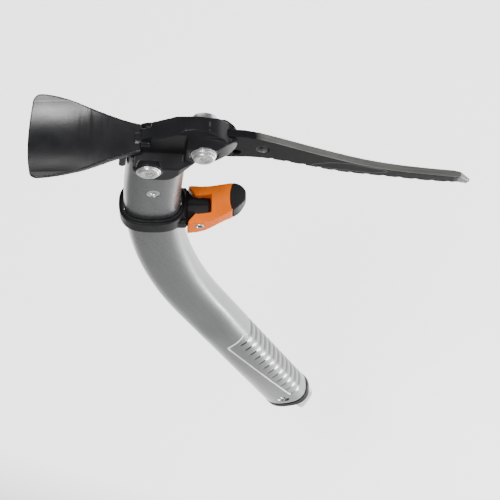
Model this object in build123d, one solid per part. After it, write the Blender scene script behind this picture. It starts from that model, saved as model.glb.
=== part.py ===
from build123d import *
import math
import os

# A short ice axe: curved tube shaft, forged head with pick and adze, spike at the foot, and a
# sliding hand rest with a sprung trigger. Millimetres. Z runs up the straight grip, X points to
# the pick, Y runs across. The origin is the centre of the tether hole in the spike.

# Shaft
SHAFT_HALF_X = 16.0
SHAFT_HALF_Y = 11.4
SHAFT_POWER = 2.6
SHAFT_WALL = 1.8
GRIP_LENGTH = 168.0
BEND_RADIUS = 390.0
BEND_ANGLE = 26.0
TUBE_OVER_PIN = 34.2
CORE_BELOW_PIN = 7.0
FOOT_Z = 16.0
ARC_Z = FOOT_Z + GRIP_LENGTH

# Grip grooves
GROOVES = 12
GROOVE_PITCH = 8.9
GROOVE_FIRST = 112.7
GROOVE_WIDTH = 2.6
GROOVE_DEPTH = 0.75
GROOVE_SIDE_DEPTH = 0.35
GROOVE_FROM_X = 7.3

# Pins and plug
PIN_RADIUS = 3.6
PIN_RECESS = 0.5
PIN_SLACK = 0.02
FOOT_PIN_X = 1.5
FOOT_PIN_Z = 8.5
PLUG_DEPTH = 22.0
PLUG_DROP = 8.5
PLUG_ROUND = 3.5
FIT_GAP = 0.08

# Spike
SPIKE_THICK = 3.0
TETHER_RADIUS = 4.5

# Head: profiles lie in the head frame, X forward and Z up the top of the shaft
SPINE_HALF = 5.5
NECK_HALF = 3.0
CHEEK_HALF = 9.2
SPOT_HALF = 8.0
SPOT_RADIUS = 7.4
LOBE_HALF = 12.8
LOBE_INNER = 8.5
LEDGE_HIGH = 38.0
LEDGE_LOW = 33.7
DOME_HALF = 4.2
DOME_TOP = 62.2
DOME_FOOT = 50.2
PICK_HALF = 2.1
REAR_BOLT = (-4.4, 31.0)
FRONT_BOLT = (23.7, 44.8)
REAR_SHANK = 3.0
FRONT_SHANK = 3.0
BOLT_HEAD_RADIUS = 6.5
REAR_SEAT = 13.4
REAR_HEAD_HIGH = 1.8
FRONT_HEAD_HIGH = 3.4
WASHER_RADIUS = 6.9
FRONT_NUT_RADIUS = 7.0
FRONT_NUT_HIGH = 4.1
REAR_NUT_RADIUS = 4.8
REAR_NUT_SEAT = 11.7
REAR_NUT_HIGH = 1.4
WASHER_HIGH = 0.8
SOCKET_FLATS = 5.0
SOCKET_DEEP = 1.6
BOSS_RADIUS = 7.0
BOSS_INNER = 10.0

# Pick
PICK_HOLE = (55.3, 41.0)
PICK_HOLE_RADIUS = 3.3
SMALL_HOLE = (41.5, 37.0)
SMALL_HOLE_RADIUS = 2.4
TEETH = 12
TOOTH_RADIUS = 2.6
TOOTH_DEEP = 0.7

# Adze
ADZE_THICK = 3.8
ADZE_RADIUS = 62.0
ADZE_DROOP = 8.5
ADZE_ROOT_X = -9.5
ADZE_ROOT_Z = 44.4
TANG_HALF = 2.6
TANG_LOW = 40.5
TANG_HIGH = 44.2
TANG_END = 4.0

# Hand rest, in its own frame at mid ring: X forward, Z up the shaft
REST_ARC = 20.4
RING_HALF = 5.5
LINER_GAP = 0.35
LINER_THICK = 1.0
RING_THICK = 1.6
RING_FRONT = 19.0
TONGUE_HALF = 5.0
TONGUE_END = 32.2
PIVOT = (26.6, -2.6)
PIVOT_RADIUS = 2.0
PIVOT_CLEAR = 0.05
LEVER_HALF = 11.7
LEVER_BACK = 19.4
RIVET_HALF = 11.3
SLOT_HALF = 5.7
SLOT_END = 33.2
PAD_CURVE = 24.0
PAD_START = 43.6
SHOE_HALF = 4.8
WIRE_RADIUS = 0.4
COIL_RADIUS = 2.65
COIL_POCKET = 3.4
COIL_LENGTH = 4.4

HEAD_X = BEND_RADIUS * (1 - math.cos(math.radians(BEND_ANGLE)))
HEAD_Z = ARC_Z + BEND_RADIUS * math.sin(math.radians(BEND_ANGLE))
HEAD = Pos(HEAD_X, 0, HEAD_Z) * Rot(0, BEND_ANGLE, 0)
REST_X = BEND_RADIUS * (1 - math.cos(math.radians(REST_ARC)))
REST_Z = ARC_Z + BEND_RADIUS * math.sin(math.radians(REST_ARC))
REST = Pos(REST_X, 0, REST_Z) * Rot(0, REST_ARC, 0)
FOOT = Pos(0, 0, FOOT_Z)


def oval(grow=0.0):
    """Section of the shaft, a superellipse, grown all round by a wall or a gap."""
    half_x = SHAFT_HALF_X + grow
    half_y = SHAFT_HALF_Y + grow
    points = []
    for step in range(20):
        angle = math.tau * step / 20
        across, deep = math.cos(angle), math.sin(angle)
        x = half_x * math.copysign(abs(across) ** (2 / SHAFT_POWER), across)
        y = half_y * math.copysign(abs(deep) ** (2 / SHAFT_POWER), deep)
        points.append((x, y))
    return make_face(Spline(*points, periodic=True))


def prism(face, low, high):
    """Extrude a face of the XY plane from one height to another."""
    return Pos(0, 0, low) * extrude(face, amount=high - low)


def slab(face, half, centre_y=0.0):
    """Extrude a profile of the XZ plane by half on each side of a plane across Y."""
    return Pos(0, centre_y, 0) * extrude(Plane.XZ * face, amount=half, both=True)


def rod(radius, spot, low, high):
    """Cylinder along Y through a spot (x, z), from one y to another."""
    return Pos(spot[0], (low + high) / 2, spot[1]) * Rot(90, 0, 0) * Cylinder(radius, high - low)


def box(low, high):
    """Box between two corners."""
    size = [b - a for a, b in zip(low, high)]
    middle = [(a + b) / 2 for a, b in zip(low, high)]
    return Pos(*middle) * Box(*size)


def shaft_body(grow):
    """Solid that follows the shaft: grip, bend and head stretch."""
    face = oval(grow)
    grip = prism(face, FOOT_Z, ARC_Z)
    axis = Axis((BEND_RADIUS, 0, ARC_Z), (0, 1, 0))
    bend = revolve(Pos(0, 0, ARC_Z) * face, axis=axis, revolution_arc=BEND_ANGLE)
    top = HEAD * prism(face, 0, TUBE_OVER_PIN)
    return grip + bend + top


def shaft_tube():
    tube = shaft_body(0) - shaft_body(-SHAFT_WALL)
    waste = oval(3) - oval(-GROOVE_DEPTH)
    side_waste = oval(3) - oval(-GROOVE_SIDE_DEPTH)
    front = box((SHAFT_HALF_X - 5, -30, 0), (30, 30, GROOVE_WIDTH))
    side = box((GROOVE_FROM_X, -30, 0.6), (SHAFT_HALF_X - 5, 30, GROOVE_WIDTH - 0.6))
    groove = (prism(waste, 0, GROOVE_WIDTH) & front) + (prism(side_waste, 0, GROOVE_WIDTH) & side)
    for number in range(GROOVES):
        height = FOOT_Z + GROOVE_FIRST - number * GROOVE_PITCH - GROOVE_WIDTH / 2
        tube -= Pos(0, 0, height) * groove
    tube -= FOOT * rod(PIN_RADIUS, (FOOT_PIN_X, FOOT_PIN_Z), -20, 20)
    tube -= HEAD * rod(PIN_RADIUS, (0, 0), -20, 20)
    tube -= HEAD * rod(REAR_SHANK, REAR_BOLT, -20, 20)
    return tube


def head_core():
    """Insert that fills the tube's top so that bolt and pin can't crush it."""
    core = prism(oval(-SHAFT_WALL - FIT_GAP), -CORE_BELOW_PIN, TUBE_OVER_PIN)
    core -= rod(PIN_RADIUS, (0, 0), -20, 20)
    core -= rod(REAR_SHANK, REAR_BOLT, -20, 20)
    return HEAD * core


def cross_pin():
    pin = rod(PIN_RADIUS - PIN_SLACK, (0, 0), -SHAFT_HALF_Y + PIN_RECESS, SHAFT_HALF_Y - PIN_RECESS)
    for side in (-1, 1):
        pin -= Pos(0, side * SHAFT_HALF_Y, 0) * Sphere(1.9)
    return pin


def spine_face():
    edge = Polyline((-9.5, 36), (-9.5, 48.2), (-4.5, 51.4), (12.4, 62))
    edge += ThreePointArc((12.4, 62), (23, 62.6), (32.5, 57.6))
    edge += Line((32.5, 57.6), (37.5, 53))
    edge += Polyline((37.5, 53), (36, 45), (30, 38.5), (17, 36), (-9.5, 36))
    return make_face(edge)


def cheek_face():
    edge = Polyline((14, 36.5), (14, 60), (26, 57.4), (38.6, 53.4))
    edge += ThreePointArc((38.6, 53.4), (41, 49.6), (39, 43.4))
    edge += Polyline((39, 43.4), (36.9, 41.3), (30.3, 38.1), (22, 36.6), (14, 36.5))
    return make_face(edge)


def cheek_plan():
    """Plan of both cheeks: parallel at the bolt, then rounded in to the blade."""
    edge = Line((10, -CHEEK_HALF), (10, CHEEK_HALF))
    edge += Line((10, CHEEK_HALF), (29.5, CHEEK_HALF))
    edge += ThreePointArc((29.5, CHEEK_HALF), (36.5, 6.6), (41.2, 3.4))
    edge += Line((41.2, 3.4), (41.2, -3.4))
    edge += ThreePointArc((41.2, -3.4), (36.5, -6.6), (29.5, -CHEEK_HALF))
    edge += Line((29.5, -CHEEK_HALF), (10, -CHEEK_HALF))
    return make_face(edge)


def lobe_face():
    edge = ThreePointArc((-13.2, 33), (-10.2, 24.6), (-4.5, 20.4))
    edge += Line((-4.5, 20.4), (3.5, 20))
    edge += ThreePointArc((3.5, 20), (8, 21.6), (11, 25.6))
    edge += Polyline((11, 25.6), (20, 34.5), (20, 40), (-9.5, 40), (-12.6, 37.4), (-13.2, 33))
    return make_face(edge)


def head_body():
    """Forging: spine, two bulged cheeks, and two lobes that straddle the tube."""
    spine = slab(spine_face(), SPINE_HALF)
    cheeks = slab(cheek_face(), CHEEK_HALF) & prism(cheek_plan(), 20, 80)
    section = make_face(Polyline(
        (-LOBE_HALF, 10), (-LOBE_HALF, LEDGE_LOW), (-SPINE_HALF, LEDGE_HIGH),
        (SPINE_HALF, LEDGE_HIGH), (LOBE_HALF, LEDGE_LOW), (LOBE_HALF, 10), close=True))
    straddle = Pos(-20, 0, 0) * extrude(Plane.YZ * section, amount=50)
    straddle &= slab(lobe_face(), 20)
    straddle &= prism(make_face(Polyline(
        (-20, -14), (9, -14), (20, -8.8), (20, 8.8), (9, 14), (-20, 14), close=True)), 0, 60)
    near_boss = rod(BOSS_RADIUS, REAR_BOLT, -REAR_SEAT, -BOSS_INNER)
    far_boss = rod(REAR_NUT_RADIUS + 1.4, REAR_BOLT, BOSS_INNER, REAR_NUT_SEAT + REAR_NUT_HIGH)
    body = spine + cheeks + straddle + near_boss + far_boss
    body -= box((-30, -LOBE_INNER, -10), (40, LOBE_INNER, TUBE_OVER_PIN))
    body -= prism(oval(FIT_GAP), -20, TUBE_OVER_PIN)
    shoulder = make_face(Polyline(
        (DOME_HALF, DOME_TOP), (CHEEK_HALF + 0.2, DOME_FOOT), (20, DOME_FOOT), (20, 80),
        (DOME_HALF, 80), close=True))
    flank = box((-12, NECK_HALF, TANG_HIGH + 0.4), (-4.5, 9, 60))
    for waste in (Pos(-20, 0, 0) * extrude(Plane.YZ * shoulder, amount=70), flank):
        body -= waste
        body -= mirror(waste, about=Plane.XZ)
    body -= box((-30, -9, LEDGE_HIGH - 0.2), (ADZE_ROOT_X, 9, 60))
    body -= slab(pick_slot_face(), PICK_HALF + FIT_GAP)
    grown = TANG_HALF + FIT_GAP
    body -= box((-12, -grown, TANG_LOW - 0.05), (TANG_END + 0.05, grown, TANG_HIGH + 0.05))
    body -= rod(REAR_SHANK, REAR_BOLT, -20, 20)
    body -= rod(REAR_NUT_RADIUS, REAR_BOLT, REAR_NUT_SEAT, 20)
    body -= rod(FRONT_SHANK, FRONT_BOLT, -20, 20)
    body -= rod(SPOT_RADIUS, FRONT_BOLT, -20, -SPOT_HALF)
    body -= rod(SPOT_RADIUS, FRONT_BOLT, SPOT_HALF, 20)
    return HEAD * body


def pick_slot_face():
    """Slot in the head for the pick's root, open to the front and below."""
    return make_face(Polyline(
        (8.95, 41.95), (8.95, 57.05), (26, 57.05), (34.5, 54.65), (60, 54.65),
        (60, 20), (19.9, 20), (19.9, 36.95), (14.4, 41.95), close=True))


def pick_edges():
    """Spine and toothed lower edge of the blade, from the head to the point."""
    spine = Spline((52, 52.6), (75, 43.0), (98, 33.4), (121, 26), (143.5, 22.2), (166.5, 20.2))
    lower = Spline((165, 14), (145, 14.8), (122, 17.4), (100, 20.1), (77, 26.4), (56, 31.6))
    return spine, lower


def pick():
    spine, lower = pick_edges()
    edge = Polyline((9, 42), (9, 57), (26, 57), (34.5, 54.6), (44, 54.5), (52, 52.6))
    edge += spine
    edge += Polyline((166.5, 20.2), (172.8, 13.8), (171.4, 11), (165, 14))
    edge += lower
    edge += Polyline((56, 31.6), (48, 32), (38, 31), (32, 32.4), (20, 37), (14.5, 42), (9, 42))
    blade = slab(make_face(edge), PICK_HALF)
    for number in range(TEETH):
        spot = lower @ ((number + 0.5) / TEETH)
        blade -= rod(TOOTH_RADIUS, (spot.X, spot.Y - TOOTH_RADIUS + TOOTH_DEEP), -5, 5)
    for spot, radius in ((PICK_HOLE, PICK_HOLE_RADIUS), (SMALL_HOLE, SMALL_HOLE_RADIUS)):
        blade -= rod(radius, spot, -5, 5)
    blade -= rod(FRONT_SHANK, FRONT_BOLT, -5, 5)
    bevel = make_face(Polyline((163, PICK_HALF), (175, 0.5), (175, 4), (163, 4), close=True))
    cutter = prism(bevel, 0, 40)
    blade -= cutter
    blade -= mirror(cutter, about=Plane.XZ)
    return HEAD * blade


def adze_plan():
    """Outline seen from above: narrow root, flared blade with rounded corners."""
    side = [(ADZE_ROOT_X, 8), (-20, 11), (-34, 16.6), (-50, 22.4), (-62, 24.6)]
    near = [(x, -y) for x, y in reversed(side)]
    edge = Spline(*side)
    edge += ThreePointArc((-62, 24.6), (-65.6, 23.4), (-67, 20))
    edge += ThreePointArc((-67, 20), (-68.6, 0), (-67, -20))
    edge += ThreePointArc((-67, -20), (-65.6, -23.4), (-62, -24.6))
    edge += Spline(*near)
    edge += Line((ADZE_ROOT_X, -8), (ADZE_ROOT_X, 8))
    return make_face(edge)


def adze():
    """Scooped blade, its tang in the head, and a heel down the back of the tube."""
    trough = Cylinder(ADZE_RADIUS + ADZE_THICK, 200) - Cylinder(ADZE_RADIUS, 210)
    trough = Pos(ADZE_ROOT_X, 0, ADZE_ROOT_Z + ADZE_RADIUS) * Rot(0, 90 - ADZE_DROOP, 0) * trough
    blade = trough & prism(adze_plan(), 20, 60)
    tang = box((ADZE_ROOT_X - 3, -TANG_HALF, TANG_LOW), (TANG_END, TANG_HALF, TANG_HIGH))
    heel_edge = Polyline((-16.25, 41.2), (-20, 41.2), (-20, 20.4))
    heel_edge += ThreePointArc((-20, 20.4), (-18.1, 18.2), (-16.25, 20.4))
    heel_edge += Line((-16.25, 20.4), (-16.25, 41.2))
    heel = slab(make_face(heel_edge), 4.5)
    return HEAD * (blade + tang + heel)


def bolt(spot, shank, seat, end, head_high):
    """Flanged button screw with a hexagon socket; its head is on the near side."""
    body = rod(shank - PIN_SLACK, spot, -seat, end)
    flange = rod(BOLT_HEAD_RADIUS, spot, -seat - head_high * 0.4, -seat)
    button = rod(BOLT_HEAD_RADIUS - 0.9, spot, -seat - head_high, -seat)
    socket = extrude(RegularPolygon(SOCKET_FLATS / math.sqrt(3), 6), amount=SOCKET_DEEP)
    socket = Pos(spot[0], -seat - head_high + SOCKET_DEEP, spot[1]) * Rot(90, 0, 0) * socket
    return HEAD * (body + flange + button - socket)


def nut(spot, radius, seat, high):
    """Low round nut on the far side."""
    disc = rod(radius, spot, seat, seat + high * 0.75)
    crown = rod(radius - 0.8, spot, seat, seat + high)
    return HEAD * (disc + crown)


def washer(spot, shank, side):
    ends = sorted((side * SPOT_HALF, side * (SPOT_HALF + WASHER_HIGH)))
    ring = rod(WASHER_RADIUS, spot, *ends) - rod(shank, spot, -20, 20)
    return HEAD * ring


def end_plug():
    """Plug in the foot of the tube, rounded below, slotted for the spike."""
    inside = prism(oval(-SHAFT_WALL - FIT_GAP), 0, PLUG_DEPTH)
    below = prism(oval(-0.1), -PLUG_DROP, 0)
    below = fillet(below.edges().sort_by(Axis.Z)[0], PLUG_ROUND)
    plug = inside + below
    plug -= slab(spike_face(FIT_GAP), SPIKE_THICK / 2 + FIT_GAP)
    plug -= rod(PIN_RADIUS, (FOOT_PIN_X, FOOT_PIN_Z), -20, 20)
    return FOOT * plug


def spike_face(grow=0.0):
    """Spike outline: tang in the plug, shoulder flush with its front, raked point."""
    edge = Polyline((-9 - grow, 20), (-9 - grow, 0), (-13.4 - grow, -2), (-12, -10))
    edge += ThreePointArc((-12, -10), (-5.6, -23), (-2.6, -37))
    edge += ThreePointArc((-2.6, -37), (-1.2, -39.2), (0.8, -38.4))
    edge += ThreePointArc((0.8, -38.4), (9, -26.2), (15.6, -14))
    edge += Polyline((15.6, -14), (15.2 + grow, -2), (9 + grow, 0), (9 + grow, 20), (-9 - grow, 20))
    return make_face(edge)


def spike():
    plate = slab(spike_face(), SPIKE_THICK / 2)
    plate -= rod(TETHER_RADIUS, (0, -FOOT_Z), -5, 5)
    plate -= rod(PIN_RADIUS, (FOOT_PIN_X, FOOT_PIN_Z), -5, 5)
    return FOOT * plate


def collar_liner():
    ring = oval(LINER_GAP + LINER_THICK) - oval(LINER_GAP)
    return REST * prism(ring, -RING_HALF, RING_HALF)


def rest_collar():
    """Ring round the shaft with a ridged tongue that carries the trigger."""
    bore = LINER_GAP + LINER_THICK
    ring = prism(oval(bore + RING_THICK), -RING_HALF, RING_HALF)
    front = box((10, -9.4, -RING_HALF), (RING_FRONT, 9.4, RING_HALF - 1))
    side = make_face(Polyline((15, 2.2), (TONGUE_END, 2.2), (TONGUE_END, -1.5), (30.8, -4.6),
                              (26.6, -6.5), (22.2, -7), (22.2, -RING_HALF), (15, -RING_HALF),
                              close=True))
    roof = make_face(Polyline((-TONGUE_HALF, -12), (-TONGUE_HALF, 0.7), (0, 2), (TONGUE_HALF, 0.7),
                              (TONGUE_HALF, -12), close=True))
    tongue = slab(side, TONGUE_HALF) & extrude(Plane.YZ * roof, amount=60)
    root = make_face(Polyline((12, -11.2), (18.6, -11.2), (22.9, -TONGUE_HALF), (22.9, TONGUE_HALF),
                              (18.6, 11.2), (12, 11.2), close=True))
    front += prism(root, -RING_HALF, 1)
    body = ring + front + tongue - prism(oval(bore), -20, 20)
    body -= rod(COIL_POCKET, PIVOT, -COIL_LENGTH / 2, COIL_LENGTH / 2)
    body -= rod(PIVOT_RADIUS + PIVOT_CLEAR, PIVOT, -20, 20)
    return REST * body


def lever_profile():
    """Side view of trigger and pad together; the tip rises."""
    edge = Polyline((LEVER_BACK, -11.6), (LEVER_BACK, -3.2), (20.4, 2.6), (25, 2.6))
    edge += Spline((25, 2.6), (31.5, 3.8), (38, 7.9), (45, 13.1), (49.4, 15.2))
    edge += ThreePointArc((49.4, 15.2), (52, 15), (52.8, 12))
    edge += Spline((52.8, 12), (51.4, 7.6), (48.4, 4.2))
    edge += Spline((48.4, 4.2), (44, 2.2), (40.6, 0.4), (36.8, -2.5), (31.1, -7.4), (24, -10.6))
    edge += Line((24, -10.6), (LEVER_BACK, -11.6))
    return make_face(edge)


def lever_plan():
    """Trigger and pad from above: widest at the shaft, narrow and rounded at the tip."""
    side = [(17, LEVER_HALF), (26, 11.5), (34, 10.7), (41, 9.4), (45, 8.5)]
    far = [(x, -y) for x, y in reversed(side)]
    edge = Spline(*side)
    edge += ThreePointArc((45, 8.5), (50, 5.6), (52.6, 2.4))
    edge += Line((52.6, 2.4), (52.6, -2.4))
    edge += ThreePointArc((52.6, -2.4), (50, -5.6), (45, -8.5))
    edge += Spline(*far)
    edge += Line((17, -LEVER_HALF), (17, LEVER_HALF))
    return make_face(edge)


def lever_blank():
    return slab(lever_profile(), LEVER_HALF + 1) & prism(lever_plan(), -30, 30)


def pad_zone():
    """Round-fronted region of the lever that the pad fills."""
    return Pos(PAD_START + PAD_CURVE, 0, 0) * Cylinder(PAD_CURVE, 60)


def trigger():
    """Forked lever: two arms beside the tongue, and a web below that holds the shoe."""
    slot = make_face(Polyline((10, 30), (SLOT_END, 30), (SLOT_END, -4.2), (31.2, -6.2), (27, -8.1),
                              (22.6, -8.6), (10, -8.6), close=True))
    flare = make_face(Polyline((10, -13), (18.3, -13), (24, -SLOT_HALF), (24, SLOT_HALF),
                               (18.3, 13), (10, 13), close=True))
    lever = lever_blank() - pad_zone() - slab(slot, SLOT_HALF) - prism(flare, -7.4, 20)
    lever -= rod(PIVOT_RADIUS, PIVOT, -20, 20)
    return REST * lever


def trigger_pad():
    """Rubber tip of the lever."""
    return REST * (lever_blank() & pad_zone())


def trigger_pin():
    """Hollow-ended rivet that the lever turns on."""
    pin = rod(PIVOT_RADIUS - 0.01, PIVOT, -RIVET_HALF, RIVET_HALF)
    for side in (-1, 1):
        pin -= rod(1.2, PIVOT, *sorted((side * (RIVET_HALF - 2), side * (RIVET_HALF + 1))))
    return REST * pin


def brake_shoe():
    """Rubber block that bears on the front of the shaft."""
    return REST * box((16.7, -SHOE_HALF, -10.8), (LEVER_BACK, SHOE_HALF, -7.4))


def trigger_spring():
    """Torsion coil round the pivot, inside the tongue."""
    turns = COIL_LENGTH - 4 * WIRE_RADIUS
    path = Helix(pitch=1.15, height=turns, radius=COIL_RADIUS)
    wire = sweep(Plane(path @ 0, z_dir=path % 0) * Circle(WIRE_RADIUS), path=path)
    return REST * Pos(PIVOT[0], turns / 2, PIVOT[1]) * Rot(90, 0, 0) * wire


def main():
    front_seat = SPOT_HALF + WASHER_HIGH
    parts = {
        "shaft_tube": shaft_tube(),
        "head_core": head_core(),
        "head_pin": HEAD * cross_pin(),
        "head_body": head_body(),
        "pick": pick(),
        "adze": adze(),
        "rear_bolt": bolt(REAR_BOLT, REAR_SHANK, REAR_SEAT, REAR_NUT_SEAT, REAR_HEAD_HIGH),
        "rear_nut": nut(REAR_BOLT, REAR_NUT_RADIUS - PIN_SLACK, REAR_NUT_SEAT, REAR_NUT_HIGH),
        "front_bolt": bolt(FRONT_BOLT, FRONT_SHANK, front_seat, front_seat, FRONT_HEAD_HIGH),
        "front_nut": nut(FRONT_BOLT, FRONT_NUT_RADIUS, front_seat, FRONT_NUT_HIGH),
        "near_washer": washer(FRONT_BOLT, FRONT_SHANK, -1),
        "far_washer": washer(FRONT_BOLT, FRONT_SHANK, 1),
        "end_plug": end_plug(),
        "spike": spike(),
        "foot_pin": FOOT * Pos(FOOT_PIN_X, 0, FOOT_PIN_Z) * cross_pin(),
        "rest_collar": rest_collar(),
        "collar_liner": collar_liner(),
        "trigger": trigger(),
        "trigger_pad": trigger_pad(),
        "trigger_pin": trigger_pin(),
        "trigger_spring": trigger_spring(),
        "brake_shoe": brake_shoe(),
    }
    os.makedirs("parts", exist_ok=True)
    for name, part in parts.items():
        export_step(part, f"parts/{name}.step")


main()
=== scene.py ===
import math

import bmesh
import bpy
from mathutils import Matrix, Vector, noise


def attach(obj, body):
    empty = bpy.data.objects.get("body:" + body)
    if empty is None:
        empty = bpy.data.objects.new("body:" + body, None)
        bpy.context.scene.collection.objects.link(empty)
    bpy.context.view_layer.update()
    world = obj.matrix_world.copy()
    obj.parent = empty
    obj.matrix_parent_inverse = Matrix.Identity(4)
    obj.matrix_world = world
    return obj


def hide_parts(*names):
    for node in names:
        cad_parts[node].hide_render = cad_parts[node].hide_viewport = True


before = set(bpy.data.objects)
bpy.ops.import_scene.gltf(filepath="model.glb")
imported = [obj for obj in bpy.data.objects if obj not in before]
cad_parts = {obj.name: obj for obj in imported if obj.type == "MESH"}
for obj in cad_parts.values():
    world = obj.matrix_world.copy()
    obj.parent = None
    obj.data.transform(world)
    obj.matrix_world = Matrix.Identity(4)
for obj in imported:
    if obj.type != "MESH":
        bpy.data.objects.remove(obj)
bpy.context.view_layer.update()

# Lengths are in millimetres until a mesh is made; angles are in degrees.
MM = 0.001
BEND_RADIUS = 390.0
BEND_ANGLE = 26.0
REST_ARC = 20.4
FOOT_Z = 16.0
GRIP_LENGTH = 168.0
ARC_Z = FOOT_Z + GRIP_LENGTH
ARC_LENGTH = BEND_RADIUS * math.radians(BEND_ANGLE)
TOP_LENGTH = 34.2

# Shaft section: half sizes at the grip, in the bend and at the head
SHAFT_POWER = 2.6
GRIP_HALF = (15.5, 12.0)
BEND_HALF = (16.0, 11.3)
HEAD_HALF = (16.0, 11.1)
SHAFT_WALL = 1.8

# Grip ridges
GROOVES = 12
GROOVE_FIRST = 112.7
GROOVE_PITCH = 8.9
GROOVE_FRONT_DEEP = 1.0
GROOVE_SIDE_DEEP = 0.45

# Fasteners
REAR_BOLT = (-4.4, 31.0)
FRONT_BOLT = (23.7, 44.8)
REAR_SEAT, REAR_END = 13.4, 11.7
FRONT_SEAT = 8.8
PIVOT = (26.6, -2.6)
FOOT_PIN = (1.5, 8.5)
PIN_RADIUS = 3.6

# Adze: height of its root's top, droop in degrees, radius-like crown across, half width
ADZE_ROOT_Z = 44.4
ADZE_DROOP = 8.5
ADZE_CROWN = 124.0
ADZE_HALF = 21.0
BOWL_DEEP = 2.6

# Corners of the line round the grip's ridges, (x, z) above the shaft's foot
BORDER = [(13.0, 121.8), (3.0, 115.6), (-1.6, 112.4), (-0.6, 103.6), (8.2, 13.5)]

# Corners of the lens-shaped line on the pick, (x, z) from the head
LENS = [(78, 26.2), (97.7, 31.6), (113, 27.6), (128, 23.2), (118.9, 20.4), (102, 22.6)]

# The plug's rim is wider than its CAD piece by this, to cover the grip
PLUG_SWELL = 12.3 / 11.4

# Turned fasteners
HEX_SOCKET = 2.5
BOLT_HEAD = 6.5
BOLT_SHANK = 2.95
RIVET_BORE = 1.25
RIVET_SHANK = 1.96

# Camera: its place from the head, and its lens and sensor
EYE = (-49.2, -467.9, 932.9)
FOCAL_LENGTH = 137.4192
SENSOR_WIDTH = 36

# Studio, in metres
MIDDLE = (0.06, 0.0, 0.30)
FLOOR_HALF = 3
FLOOR_Z = -0.20
FLOOR_GLOW = 2.4
WORLD_GLOW = 0.13

# Colours
ALUMINIUM = (0.2, 0.203, 0.206)
COAT_BLACK = (0.009, 0.009, 0.01)
BLADE_BLACK = (0.008, 0.008, 0.009)
GROUND_GREYS = (0.15, 0.15, 0.145), (0.21, 0.21, 0.2)
PLATE_GREYS = (0.42, 0.42, 0.42), (0.62, 0.62, 0.61)
# Painted shade: near-black colour laid into the grip's grooves
PAINTED_GROOVE_SHADE = (0.035, 0.035, 0.036)
BOLT_GREY = (0.84, 0.84, 0.84)
NUT_GREY = (0.6, 0.6, 0.6)
PIN_GREY = (0.62, 0.62, 0.62)


def station(angle):
    """Frame on the shaft's bend: origin on the centreline, Z along it, X outward to the pick."""
    turn = math.radians(angle)
    x = BEND_RADIUS * (1 - math.cos(turn))
    z = ARC_Z + BEND_RADIUS * math.sin(turn)
    return Matrix.Translation((x, 0, z)) @ Matrix.Rotation(turn, 4, "Y")


HEAD = station(BEND_ANGLE)
REST = station(REST_ARC)
FOOT = Matrix.Translation((0, 0, FOOT_Z))


def ease(low, high, value):
    """0 below low, 1 above high, smooth between."""
    t = min(max((value - low) / (high - low), 0.0), 1.0)
    return t * t * (3 - 2 * t)


# ---------------------------------------------------------------- camera, light, floor
def add_camera():
    """Camera placed and turned in the head's frame."""
    right = Vector((0.99406, 0.0, 0.10882))
    up = Vector((-0.04497, 0.9106, 0.41085))
    pose = Matrix((right, up, right.cross(up))).transposed().to_4x4()
    pose.translation = Vector(EYE)
    placed = HEAD @ pose
    placed.translation = placed.translation * MM
    camera = bpy.data.objects.new("camera", bpy.data.cameras.new("camera"))
    camera.matrix_world = placed
    camera.data.sensor_width = SENSOR_WIDTH
    camera.data.lens = FOCAL_LENGTH
    camera.data.clip_start = 0.05
    bpy.context.collection.objects.link(camera)
    bpy.context.scene.camera = camera


def add_light(name, spot, target, size, power):
    """Rectangular lamp at a spot, aimed at a target."""
    light = bpy.data.lights.new(name, "AREA")
    light.shape = "RECTANGLE"
    light.size, light.size_y = size
    light.energy = power
    lamp = bpy.data.objects.new(name, light)
    lamp.location = spot
    aim = Vector(target) - Vector(spot)
    lamp.rotation_euler = aim.to_track_quat("-Z", "Y").to_euler()
    bpy.context.collection.objects.link(lamp)


# ---------------------------------------------------------------- materials
def scaled(colour, times, more=0.0):
    """The colour made lighter or darker, up to white."""
    return [min(c * times + more, 1) for c in colour]


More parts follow.
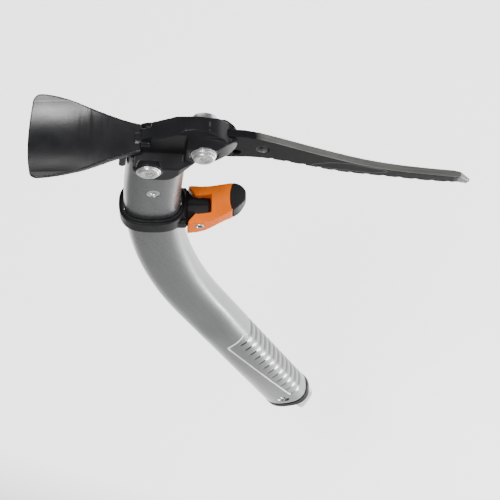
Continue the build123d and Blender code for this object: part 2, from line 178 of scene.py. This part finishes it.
class Paint:
    """A Principled material and the few nodes that the finishes below are made of."""

    def __init__(self, name, colour, metallic, roughness, specular=0.5):
        self.material = bpy.data.materials.new(name)
        self.material.use_nodes = True
        self.tree = self.material.node_tree
        self.shader = self.tree.nodes["Principled BSDF"]
        self.shader.inputs["Base Color"].default_value = (*colour, 1)
        self.shader.inputs["Metallic"].default_value = metallic
        self.shader.inputs["Roughness"].default_value = roughness
        self.shader.inputs["Specular IOR Level"].default_value = specular
        self.place = self.tree.nodes.new("ShaderNodeTexCoord").outputs["Object"]

    def node(self, kind, **values):
        made = self.tree.nodes.new(kind)
        for key, value in values.items():
            self.feed(made, key.replace("_", " "), value)
        return made

    def feed(self, made, key, value):
        socket = made.inputs[key]
        if isinstance(value, bpy.types.NodeSocket):
            self.tree.links.new(value, socket)
        else:
            socket.default_value = value

    def grain(self, scale, detail=3.0, rough=0.5):
        """Noise with its own scale along each axis, in cells per metre."""
        mapping = self.node("ShaderNodeMapping", Vector=self.place, Scale=scale)
        return self.node("ShaderNodeTexNoise", Vector=mapping.outputs[0], Scale=1.0,
                         Detail=detail, Roughness=rough).outputs[0]

    def remap(self, value, low, high, start, end):
        made = self.node("ShaderNodeMapRange")
        for index, item in enumerate((value, low, high, start, end)):
            self.feed(made, index, item)
        return made.outputs[0]

    def math(self, operation, first, second):
        made = self.tree.nodes.new("ShaderNodeMath")
        made.operation = operation
        self.feed(made, 0, first)
        self.feed(made, 1, second)
        return made.outputs[0]

    def blend(self, share, first, second):
        made = self.tree.nodes.new("ShaderNodeMix")
        made.data_type = "RGBA"
        self.feed(made, "Factor", share)
        colours = [s for s in made.inputs if s.type == "RGBA"]
        for socket, colour in zip(colours, (first, second)):
            if isinstance(colour, bpy.types.NodeSocket):
                self.tree.links.new(colour, socket)
            else:
                socket.default_value = (*colour, 1)
        return [s for s in made.outputs if s.type == "RGBA"][0]

    def bumps(self, *layers):
        """Layers of (height, strength, distance in mm), one over the other."""
        normal = None
        for height, strength, distance in layers:
            bump = self.node("ShaderNodeBump", Height=height, Strength=strength,
                             Distance=distance * MM)
            if normal:
                self.tree.links.new(normal, bump.inputs["Normal"])
            normal = bump.outputs[0]
        self.tree.links.new(normal, self.shader.inputs["Normal"])

    def along(self, local, axis, spot=(0, 0, 0)):
        """Distance in metres along an axis of a local frame, from a spot in it."""
        direction = (local.to_3x3() @ Vector(axis)).normalized()
        origin = (local @ Vector(spot)) * MM
        dot = self.tree.nodes.new("ShaderNodeVectorMath")
        dot.operation = "DOT_PRODUCT"
        self.feed(dot, 0, self.place)
        dot.inputs[1].default_value = direction
        return self.math("SUBTRACT", dot.outputs["Value"], direction.dot(origin))

    def facing(self, local, axis):
        """How far the surface faces an axis of a local frame, from -1 to 1."""
        dot = self.tree.nodes.new("ShaderNodeVectorMath")
        dot.operation = "DOT_PRODUCT"
        self.tree.links.new(self.tree.nodes.new("ShaderNodeNewGeometry").outputs["Normal"],
                            dot.inputs[0])
        dot.inputs[1].default_value = (local.to_3x3() @ Vector(axis)).normalized()
        return dot.outputs["Value"]

    def edges(self, low, high):
        """0 on flats, 1 on convex edges."""
        point = self.tree.nodes.new("ShaderNodeNewGeometry").outputs["Pointiness"]
        return self.remap(point, low, high, 0.0, 1.0)

    def set(self, name, value):
        self.feed(self.shader, name, value)


def satin_aluminium(name, grooves=False):
    """Fine-grained bare aluminium, with painted shade in the grip's grooves."""
    paint = Paint(name, ALUMINIUM, 0.88, 0.34)
    speck = paint.grain((1900, 1900, 1500), 4, 0.7)
    streak = paint.grain((900, 900, 28), 3)
    cloud = paint.grain((30, 30, 22), 2)
    tone = paint.math("ADD", paint.remap(speck, 0.3, 0.7, 0, 0.8),
                      paint.remap(streak, 0.3, 0.7, 0, 0.2))
    dark, light = scaled(ALUMINIUM, 0.72), scaled(ALUMINIUM, 1.25)
    metal = paint.blend(tone, dark, light)
    if grooves:
        # Painted shade: the grip's grooves blended towards a near-black colour
        metal = paint.blend(groove_shade(paint), metal, PAINTED_GROOVE_SHADE)
    paint.set("Base Color", metal)
    paint.set("Roughness", paint.remap(cloud, 0.35, 0.65, 0.27, 0.34))
    paint.bumps((streak, 0.06, 0.03), (speck, 0.4, 0.06))
    return paint.material


def groove_shade(paint):
    """Painted shade in the grip's grooves: 1 on their centrelines, 0 between them."""
    run = paint.along(FOOT, (0, 0, 1), (0, 0, GROOVE_FIRST))
    count = paint.math("DIVIDE", run, GROOVE_PITCH * MM)
    nearest = paint.math("ROUND", count, 0.0)
    away = paint.math("ABSOLUTE", paint.math("SUBTRACT", count, nearest), 0.0)
    number = paint.math("MULTIPLY", nearest, -1.0)
    line = paint.remap(away, 0.06, 0.12, 0.9, 0.0)
    broad = paint.remap(away, 0.10, 0.34, 0.55, 0.0)
    ahead = paint.along(FOOT, (1, 0, 0))
    sides = paint.math("MULTIPLY", paint.remap(ahead, 0.0068, 0.0082, 0, 1),
                       paint.remap(ahead, 0.0116, 0.0130, 1, 0))
    front = paint.remap(ahead, 0.0134, 0.0146, 0, 1)
    rows = paint.math("MULTIPLY", paint.remap(number, -0.6, -0.4, 0, 1),
                      paint.remap(number, GROOVES - 0.6, GROOVES - 0.4, 1, 0))
    faint = paint.remap(number, 0, GROOVES - 1, 1.0, 0.45)
    dashes = paint.math("MULTIPLY", paint.math("MULTIPLY", line, sides), faint)
    both = paint.math("MAXIMUM", dashes, paint.math("MULTIPLY", broad, front))
    return paint.math("MULTIPLY", both, rows)


def black_coat(name, specular, forged=False):
    """Satin black coat, lighter grey on its convex edges as wear and painted edge highlight; forged adds
    hammer marks at the adze's neck.
    """
    paint = Paint(name, COAT_BLACK, 0.0, 0.36, specular)
    peel = paint.grain((750, 750, 750), 2)
    cloud = paint.grain((70, 70, 70), 3)
    # Painted edge highlight and wear: convex edges blended patchily towards grey
    worn_and_highlit_edges = paint.math("MULTIPLY", paint.edges(0.54, 0.60), paint.remap(cloud, 0.4, 0.65, 0.05, 0.45))
    mottled = paint.blend(paint.remap(cloud, 0.3, 0.7, 0, 1), COAT_BLACK, scaled(COAT_BLACK, 1.7))
    paint.set("Base Color", paint.blend(worn_and_highlit_edges, mottled, (0.17, 0.17, 0.17)))
    paint.set("Roughness", paint.remap(cloud, 0.3, 0.7, 0.29, 0.39))
    layers = [(peel, 0.25, 0.05), (cloud, 0.2, 0.3)]
    if forged:
        hammer = paint.grain((420, 22, 60), 3)
        neck = paint.along(HEAD, (1, 0, 0), (-30, 0, 0))
        near_neck = paint.remap(paint.math("ABSOLUTE", neck, 0.0), 0.008, 0.02, 1, 0)
        layers.append((paint.math("MULTIPLY", hammer, near_neck), 0.7, 0.25))
    paint.bumps(*layers)
    return paint.material


def blade_coat(name):
    """Black coat with a ground grey spine and a bare point."""
    paint = Paint(name, BLADE_BLACK, 0.0, 0.45, 0.12)
    peel = paint.grain((800, 800, 800), 2)
    lines = paint.grain((60, 1500, 60), 3)
    top = paint.remap(paint.facing(HEAD, (0, 0, 1)), 0.45, 0.7, 0, 1)
    start = paint.remap(paint.along(HEAD, (1, 0, 0), (50, 0, 0)), 0.0, 0.006, 0, 1)
    ground = paint.math("MULTIPLY", top, start)
    point = paint.remap(paint.along(HEAD, (1, 0, 0), (164.5, 0, 0)), 0.0, 0.002, 0, 1)
    bare = paint.math("MAXIMUM", ground, point)
    grey = paint.blend(paint.remap(lines, 0.35, 0.65, 0, 1), *GROUND_GREYS)
    paint.set("Base Color", paint.blend(bare, BLADE_BLACK, grey))
    paint.set("Metallic", paint.math("MULTIPLY", bare, 0.55))
    paint.set("Roughness", paint.remap(bare, 0, 1, 0.45, 0.36))
    paint.bumps((peel, 0.2, 0.04), (lines, 0.15, 0.03))
    return paint.material


def bright_steel(name, colour, roughness=0.3):
    """Plated steel with fine turning scratches."""
    paint = Paint(name, colour, 0.85, roughness)
    scratch = paint.grain((1400, 300, 1400), 4)
    cloud = paint.grain((220, 220, 220), 2)
    paint.set("Base Color", paint.blend(paint.remap(cloud, 0.35, 0.65, 0, 1), colour, scaled(colour, 0.82)))
    paint.set("Roughness", paint.remap(scratch, 0.3, 0.7, roughness - 0.06, roughness + 0.08))
    paint.bumps((scratch, 0.12, 0.02))
    return paint.material


def ground_steel(name):
    """Plate steel with fine grinding lines across it."""
    paint = Paint(name, (0.55, 0.55, 0.55), 0.85, 0.34)
    lines = paint.grain((90, 90, 2200), 4)
    cloud = paint.grain((90, 90, 90), 3)
    paint.set("Base Color", paint.blend(paint.remap(lines, 0.3, 0.7, 0, 1), *PLATE_GREYS))
    paint.set("Roughness", paint.remap(cloud, 0.3, 0.7, 0.28, 0.42))
    paint.bumps((lines, 0.25, 0.03))
    return paint.material


def moulded(name, colour, roughness, specular=0.22, depth=0.05, scale=1300):
    """Moulded plastic or rubber: fine leathery texture, slight cloudiness."""
    paint = Paint(name, colour, 0.0, roughness, specular)
    peel = paint.grain((scale, scale, scale), 3, 0.6)
    cloud = paint.grain((110, 110, 110), 3)
    worn = paint.math("MULTIPLY", paint.edges(0.55, 0.62), 0.25)
    base = paint.blend(paint.remap(cloud, 0.3, 0.7, 0, 1), scaled(colour, 0.93), scaled(colour, 1.08))
    paint.set("Base Color", paint.blend(worn, base, scaled(colour, 1.5, 0.02)))
    paint.set("Roughness", paint.remap(cloud, 0.3, 0.7, roughness - 0.05, roughness + 0.07))
    paint.bumps((peel, 0.3, depth))
    return paint.material


def pale_floor():
    """White paper sweep, glowing behind the object and dim in front of it."""
    paint = Paint("floor", (0.9, 0.9, 0.9), 0.0, 0.9, 0.1)
    paint.set("Roughness", paint.remap(paint.grain((9, 9, 9), 2), 0.3, 0.7, 0.85, 0.95))
    paint.set("Emission Color", (1, 1, 1, 1))
    back = paint.along(Matrix.Identity(4), (0.35, 0.94, 0))
    glow = paint.remap(back, -0.17, -0.06, 0.0, FLOOR_GLOW)
    paint.set("Emission Strength", glow)
    return paint.material


# ---------------------------------------------------------------- pieces
def settle(piece):
    """Replace a piece's mesh with what its modifiers make of it."""
    graph = bpy.context.evaluated_depsgraph_get()
    mesh = bpy.data.meshes.new_from_object(piece.evaluated_get(graph))
    piece.modifiers.clear()
    piece.data = mesh


def finish_piece(piece, body, paint, nodes=(), crease=None):
    """Smooth a piece, sharp past the crease angle, and give it its paint, body and nodes."""
    mesh = piece.data
    mesh.shade_smooth()
    if crease:
        mesh.set_sharp_from_angle(angle=math.radians(crease))
    mesh.materials.clear()
    mesh.materials.append(paint)
    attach(piece, body)
    if nodes:
        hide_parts(*nodes)
    return piece


def solid(name, local, points, faces):
    """Mesh object from points in a local frame, in millimetres, with its normals set outward."""
    mesh = bpy.data.meshes.new(name)
    mesh.from_pydata([(local @ Vector(p)) * MM for p in points], [], faces)
    shape = bmesh.new()
    shape.from_mesh(mesh)
    bmesh.ops.recalc_face_normals(shape, faces=shape.faces)
    shape.to_mesh(mesh)
    shape.free()
    piece = bpy.data.objects.new(name, mesh)
    bpy.context.collection.objects.link(piece)
    return piece


def tube_faces(rows, across, closed):
    """Quads between rings of points; the last ring joins the first when closed."""
    faces = []
    for row in range(rows if closed else rows - 1):
        after = (row + 1) % rows
        for k in range(across):
            side = (k + 1) % across
            faces.append((row * across + k, row * across + side,
                          after * across + side, after * across + k))
    return faces


def lathe(name, local, spot, profile, sides=72):
    """Turned piece along Y; the profile's rows are (radius, y, six_sided), end to end."""
    points = []
    for radius, y, six_sided in profile:
        for k in range(sides):
            angle = math.tau * k / sides
            reach = radius
            if six_sided:
                reach = radius / math.cos(angle % (math.tau / 6) - math.tau / 12)
            points.append((spot[0] + reach * math.cos(angle), y, spot[1] + reach * math.sin(angle)))
    faces = tube_faces(len(profile), sides, False)
    faces.append(tuple(range(sides)))
    faces.append(tuple(range(len(points) - sides, len(points))))
    return solid(name, local, points, faces)


def mirrored(profile):
    """The same profile for the piece's other end."""
    return [(radius, -y, six_sided) for radius, y, six_sided in reversed(profile)]


def softened(node, voxel, rounds, local=HEAD, shape=None):
    """Copy of a CAD node with its edges worn round, and moved point by point in a local frame."""
    piece = bpy.data.objects.new(node + "_skin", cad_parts[node].data.copy())
    bpy.context.collection.objects.link(piece)
    remesh = piece.modifiers.new("voxels", "REMESH")
    remesh.mode = "VOXEL"
    remesh.voxel_size = voxel * MM
    smooth = piece.modifiers.new("smooth", "SMOOTH")
    smooth.factor = 0.5
    smooth.iterations = rounds
    settle(piece)
    if shape:
        back = local.inverted()
        for vertex in piece.data.vertices:
            spot = back @ (vertex.co / MM)
            vertex.co = (local @ shape(spot)) * MM
    return piece


# ---------------------------------------------------------------- shaft
def path_frame(run):
    """Frame on the shaft's centreline at a distance from its foot."""
    if run <= GRIP_LENGTH:
        return Matrix.Translation((0, 0, FOOT_Z + run))
    if run <= GRIP_LENGTH + ARC_LENGTH:
        return station(math.degrees((run - GRIP_LENGTH) / BEND_RADIUS))
    return HEAD @ Matrix.Translation((0, 0, run - GRIP_LENGTH - ARC_LENGTH))


def section_half(run):
    """Half sizes of the shaft's section at a distance from its foot."""
    low = ease(125, 165, run)
    high = ease(GRIP_LENGTH + 110, GRIP_LENGTH + ARC_LENGTH, run)
    halves = []
    for grip, bend, head in zip(GRIP_HALF, BEND_HALF, HEAD_HALF):
        halves.append(grip + (bend - grip) * low + (head - bend) * high)
    return halves


def groove_depth(run, x):
    """Narrow dashes on the sides that open into broad grooves round the front."""
    number = min(max(round((GROOVE_FIRST - run) / GROOVE_PITCH), 0), GROOVES - 1)
    away = run - (GROOVE_FIRST - number * GROOVE_PITCH)
    fade = 1 - 0.55 * number / (GROOVES - 1)
    side = ease(6.8, 8.2, x) * GROOVE_SIDE_DEEP * fade * math.exp(-(away / 0.7) ** 2)
    front = ease(11.2, 14.6, x) * GROOVE_FRONT_DEEP * math.exp(-(away / 2.1) ** 2)
    return max(side, front)


def shaft_point(run, angle, inset):
    """Point of the shaft's section; an inset of 0 is the outside, with its grooves."""
    half_x, half_y = section_half(run)
    across, deep = math.cos(angle), math.sin(angle)
    x = half_x * math.copysign(abs(across) ** (2 / SHAFT_POWER), across)
    y = half_y * math.copysign(abs(deep) ** (2 / SHAFT_POWER), deep)
    lean = 2 - 2 / SHAFT_POWER
    normal = Vector((math.copysign(abs(across) ** lean, across) / half_x,
                     math.copysign(abs(deep) ** lean, deep) / half_y, 0)).normalized()
    if inset == 0:
        inset = groove_depth(run, x)
    return path_frame(run) @ (Vector((x, y, 0)) - normal * inset)


def pin_cutter(local, spot):
    """Cutter for a cross pin's hole, flared at both ends."""
    flare = [(6.2, -15, False), (PIN_RADIUS + 0.05, -10.8, False)]
    return lathe("pin_cutter", local, spot, flare + mirrored(flare), 48)


def make_shaft():
    """Tube with fine rows over the grooves, coarse rows above them and plain rows inside."""
    around, coarse, inside = 144, 84, 60
    end = GRIP_LENGTH + ARC_LENGTH + TOP_LENGTH
    fine = [3 + 0.4 * k for k in range(295)]
    outer = [(0, 0.6), (0.25, 0.2)] + [(run, 0) for run in [1.0, 2.0] + fine]
    outer += [(121 + (end - 1.2 - 121) * k / coarse, 0) for k in range(1, coarse + 1)]
    outer += [(end - 0.25, 0.2), (end, 0.6)]
    inner = [(end - end * k / inside, SHAFT_WALL) for k in range(inside + 1)]
    points = []
    for run, inset in outer + inner:
        for k in range(around):
            points.append(shaft_point(run, math.tau * (k + 0.5) / around, inset))
    still = Matrix.Identity(4)
    shaft = solid("shaft_skin", still, points, tube_faces(len(outer) + len(inner), around, True))
    cutters = [pin_cutter(HEAD, (0, 0)), pin_cutter(FOOT, FOOT_PIN)]
    for cutter in cutters:
        cut = shaft.modifiers.new("pin hole", "BOOLEAN")
        cut.object = cutter
        cut.operation = "DIFFERENCE"
        cut.solver = "EXACT"
    settle(shaft)
    for cutter in cutters:
        bpy.data.objects.remove(cutter)
    return finish_piece(shaft, "shaft", satin_aluminium("shaft aluminium", grooves=True),
                        ["shaft_tube"], 40)


def rounded_path(corners, steps=10, keep=0.45):
    """Points along a polyline whose corners are turned by quadratic curves."""
    path = [Vector(corners[0])]
    for before, corner, after in zip(corners, corners[1:], corners[2:]):
        before, corner, after = Vector(before), Vector(corner), Vector(after)
        start = corner.lerp(before, keep)
        stop = corner.lerp(after, keep)
        for k in range(steps + 1):
            t = k / steps
            path.append(start.lerp(corner, t).lerp(corner.lerp(stop, t), t))
    path.append(Vector(corners[-1]))
    return path


def ribbon(name, local, path, height_of, width, raise_by, sink, closed=False):
    """Thin strip along a path (x, z) on a surface; height_of gives the surface's y."""
    points = []
    count = len(path)
    for number, spot in enumerate(path):
        if closed:
            ahead = path[(number + 1) % count] - path[number - 1]
        else:
            ahead = path[min(number + 1, count - 1)] - path[max(number - 1, 0)]
        side = Vector((-ahead.y, ahead.x)).normalized() * (width(spot) / 2)
        edges = [spot + side, spot - side]
        y = [height_of(edge) for edge in edges]
        sign = math.copysign(1, y[0])
        points += [(edges[0].x, y[0] + sign * raise_by, edges[0].y),
                   (edges[1].x, y[1] + sign * raise_by, edges[1].y),
                   (edges[1].x, y[1] - sign * sink, edges[1].y),
                   (edges[0].x, y[0] - sign * sink, edges[0].y)]
    faces = tube_faces(count, 4, closed)
    if not closed:
        faces += [(0, 1, 2, 3), tuple(range(len(points) - 4, len(points)))]
    return solid(name, local, points, faces)


def denser(path, step=1.5):
    """The same path with a point at least every step."""
    dense = []
    for first, second in zip(path, path[1:]):
        parts = max(1, math.ceil((second - first).length / step))
        dense += [first.lerp(second, k / parts) for k in range(parts)]
    return dense + [path[-1]]


def make_borders():
    """Pale line that frames the ridges, on both sides of the grip."""
    path = denser(rounded_path(BORDER))
    paint = moulded("border line", (0.95, 0.95, 0.94), 0.4)

    def width(spot):
        return 0.95 + 0.7 * math.exp(-((spot.y - 112) / 4) ** 2)

    for side, sign in (("near", -1), ("far", 1)):

        def surface(spot, sign=sign):
            half_x, half_y = section_half(spot.y)
            share = min(abs(spot.x) / half_x, 0.999)
            return sign * half_y * (1 - share ** SHAFT_POWER) ** (1 / SHAFT_POWER)

        line = ribbon(f"border_{side}", FOOT, path, surface, width, 0.08, 0.4)
        finish_piece(line, "shaft", paint, crease=30)


# ---------------------------------------------------------------- head
def scoop(spot):
    """Deepen the adze's bowl towards its tip, and thin it to its edge."""
    x, y, z = spot
    if x > -20 or z < 30:
        return spot
    bowl = ease(-24, -50, x) if x < -24 else 0.0
    across = max(0.0, 1 - (y / ADZE_HALF) ** 2)
    dip = BOWL_DEEP * bowl * across
    roof = ADZE_ROOT_Z + (x + 9.5) * math.tan(math.radians(ADZE_DROOP)) + y * y / ADZE_CROWN
    under = max(0.0, roof - z)
    thin = under * 0.5 * ease(-30, -64, x) if x < -30 else 0.0
    ripple = noise.noise((x * 0.45, y * 0.03, 0)) * 0.22 * math.exp(-((x + 32) / 11) ** 2)
    return Vector((x, y, z - dip + thin + ripple))


def make_head():
    """Head, adze and pick, with their edges worn."""
    body = softened("head_body", 0.42, 7)
    finish_piece(body, "shaft", black_coat("head coat", 0.16), ["head_body"])
    blade = softened("adze", 0.45, 5, HEAD, scoop)
    finish_piece(blade, "shaft", black_coat("adze coat", 0.42, True), ["adze"])
    pick = softened("pick", 0.34, 3)
    finish_piece(pick, "shaft", blade_coat("blade coat"), ["pick"])


def make_etching():
    """Lens-shaped line etched on both sides of the blade."""
    ring = [Vector(corner) for corner in LENS]
    path, steps = [], 14
    for number in range(len(ring)):
        before, corner, after = ring[number - 1], ring[number], ring[(number + 1) % len(ring)]
        start, stop = (before + corner) / 2, (corner + after) / 2
        for k in range(steps):
            t = k / steps
            path.append(start.lerp(corner, t).lerp(corner.lerp(stop, t), t))
    paint = moulded("etched line", (0.07, 0.07, 0.07), 0.5)
    for side, sign in (("near", -1), ("far", 1)):
        line = ribbon(f"etching_{side}", HEAD, path, lambda spot, sign=sign: sign * 2.1,
                      lambda spot: 0.5, 0.06, 0.3, True)
        finish_piece(line, "shaft", paint, crease=30)


def bolt_profile(seat, end, high):
    """Button head with a flange and a hexagon socket; then the shank."""
    face = -seat - high
    flange = -seat - high * 0.45
    rim = BOLT_HEAD
    return [(HEX_SOCKET - 0.1, face + 1.9, True), (HEX_SOCKET, face + 0.3, True), (3.35, face, False),
            (rim - 2.0, face, False), (rim - 1.45, face + 0.12, False),
            (rim - 1.05, face + 0.4, False), (rim - 0.9, face + 0.75, False),
            (rim - 0.85, flange - 0.12, False), (rim - 0.4, flange, False),
            (rim - 0.1, flange + 0.2, False), (rim, flange + 0.45, False),
            (rim, -seat - 0.12, False), (rim - 0.15, -seat, False),
            (BOLT_SHANK, -seat, False), (BOLT_SHANK, end, False)]


def nut_profile(seat, high, radius, socket, deep):
    """Round nut with a hexagon socket in its face."""
    face = seat + high
    return [(radius - 0.3, seat, False), (radius, seat + 0.25, False), (radius, face - 0.55, False),
            (radius - 0.2, face - 0.2, False), (radius - 0.6, face, False), (socket + 0.5, face, False),
            (socket, face - 0.3, True), (socket - 0.1, face - deep, True)]


def rivet_profile():
    """Hollow rivet with a rolled rim at both ends."""
    end = [(RIVET_BORE, -9.6, False), (RIVET_BORE, -11.45, False), (1.5, -11.75, False),
           (1.95, -11.85, False), (2.4, -11.7, False), (2.5, -11.45, False), (RIVET_SHANK, -11.3, False)]
    return end + mirrored(end)


def make_fasteners():
    """Turned bolts, nuts and rivet."""
    bolt = bright_steel("bolt steel", BOLT_GREY)
    nut = bright_steel("nut steel", NUT_GREY)
    rear_head = bolt_profile(REAR_SEAT, REAR_END, 1.8)
    front_head = bolt_profile(FRONT_SEAT, FRONT_SEAT, 3.4)
    rear_end = nut_profile(REAR_END, 1.4, 4.75, 2.6, 0.9)
    front_end = nut_profile(FRONT_SEAT, 4.1, 7.0, 3.4, 2.2)
    pieces = [
        ("rear_bolt", HEAD, REAR_BOLT, rear_head, "shaft", bolt),
        ("front_bolt", HEAD, FRONT_BOLT, front_head, "shaft", bolt),
        ("rear_nut", HEAD, REAR_BOLT, rear_end, "shaft", nut),
        ("front_nut", HEAD, FRONT_BOLT, front_end, "shaft", nut),
        ("trigger_pin", REST, PIVOT, rivet_profile(), "trigger", nut),
    ]
    for node, local, spot, profile, body, paint in pieces:
        piece = lathe(node + "_turned", local, spot, profile)
        finish_piece(piece, body, paint, [node], 35)


# ---------------------------------------------------------------- foot and hand rest
def grip_section(spot):
    """The plug follows the grip's section."""
    return Vector((spot.x, spot.y * PLUG_SWELL, spot.z))


def make_foot():
    """Plug and spike."""
    plug = softened("end_plug", 0.5, 4, FOOT, grip_section)
    black = moulded("plug plastic", (0.007, 0.007, 0.008), 0.45, 0.08)
    finish_piece(plug, "shaft", black, ["end_plug"])
    spike = softened("spike", 0.34, 3)
    finish_piece(spike, "shaft", ground_steel("spike steel"), ["spike"])


def make_rest():
    """Collar, lever and the lever's pad."""
    collar = softened("rest_collar", 0.4, 5)
    finish_piece(collar, "rest",
                 moulded("collar plastic", (0.009, 0.009, 0.01), 0.38, 0.12), ["rest_collar"])
    lever = softened("trigger", 0.36, 8)
    finish_piece(lever, "trigger",
                 moulded("orange plastic", (0.95, 0.17, 0.003), 0.36, 0.2, 0.03), ["trigger"])
    pad = softened("trigger_pad", 0.36, 6)
    finish_piece(pad, "trigger",
                 moulded("pad rubber", (0.014, 0.014, 0.015), 0.55, 0.2, 0.08, 900), ["trigger_pad"])


def dress_cad_nodes():
    """Finishes for the CAD nodes that stay as they are."""
    finishes = {
        "head_core": satin_aluminium("core aluminium"),
        "head_pin": bright_steel("pin steel", PIN_GREY, 0.32),
        "foot_pin": bright_steel("foot pin steel", PIN_GREY, 0.32),
        "near_washer": bright_steel("washer steel", (0.8, 0.8, 0.8), 0.2),
        "far_washer": bright_steel("far washer steel", (0.7, 0.7, 0.7), 0.26),
        "collar_liner": moulded("liner plastic", (0.01, 0.01, 0.011), 0.5),
        "trigger_spring": bright_steel("spring steel", NUT_GREY),
        "brake_shoe": moulded("shoe rubber", (0.02, 0.02, 0.021), 0.7, 0.3, 0.1, 700),
    }
    for name, paint in finishes.items():
        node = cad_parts[name]
        node.data.materials.clear()
        node.data.materials.append(paint)


# ---------------------------------------------------------------- build
add_camera()
add_light("key", (0.13, -0.27, 1.18), MIDDLE, (0.24, 0.24), 9)
add_light("front", (0.25, -1.1, 0.55), MIDDLE, (0.6, 0.5), 1.2)
add_light("low", (0.33, -0.14, -0.13), (0.04, 0.0, 0.22), (0.05, 0.36), 4)
add_light("side", (1.1, -0.30, 0.40), MIDDLE, (0.35, 0.9), 8)
add_light("back", (-0.1, 1.1, 0.9), MIDDLE, (0.9, 0.4), 3.5)

floor_mesh = bpy.data.meshes.new("floor")
corners = [(-FLOOR_HALF, -FLOOR_HALF, 0), (FLOOR_HALF, -FLOOR_HALF, 0),
           (FLOOR_HALF, FLOOR_HALF, 0), (-FLOOR_HALF, FLOOR_HALF, 0)]
floor_mesh.from_pydata(corners, [], [(0, 1, 2, 3)])
floor = bpy.data.objects.new("floor", floor_mesh)
floor.location.z = FLOOR_Z
floor_mesh.materials.append(pale_floor())
bpy.context.collection.objects.link(floor)

world = bpy.data.worlds.new("studio")
world.use_nodes = True
bpy.context.scene.world = world
world.node_tree.nodes["Background"].inputs["Color"].default_value = (1, 1, 1, 1)
world.node_tree.nodes["Background"].inputs["Strength"].default_value = WORLD_GLOW

make_shaft()
make_borders()
make_head()
make_etching()
make_fasteners()
make_foot()
make_rest()
dress_cad_nodes()
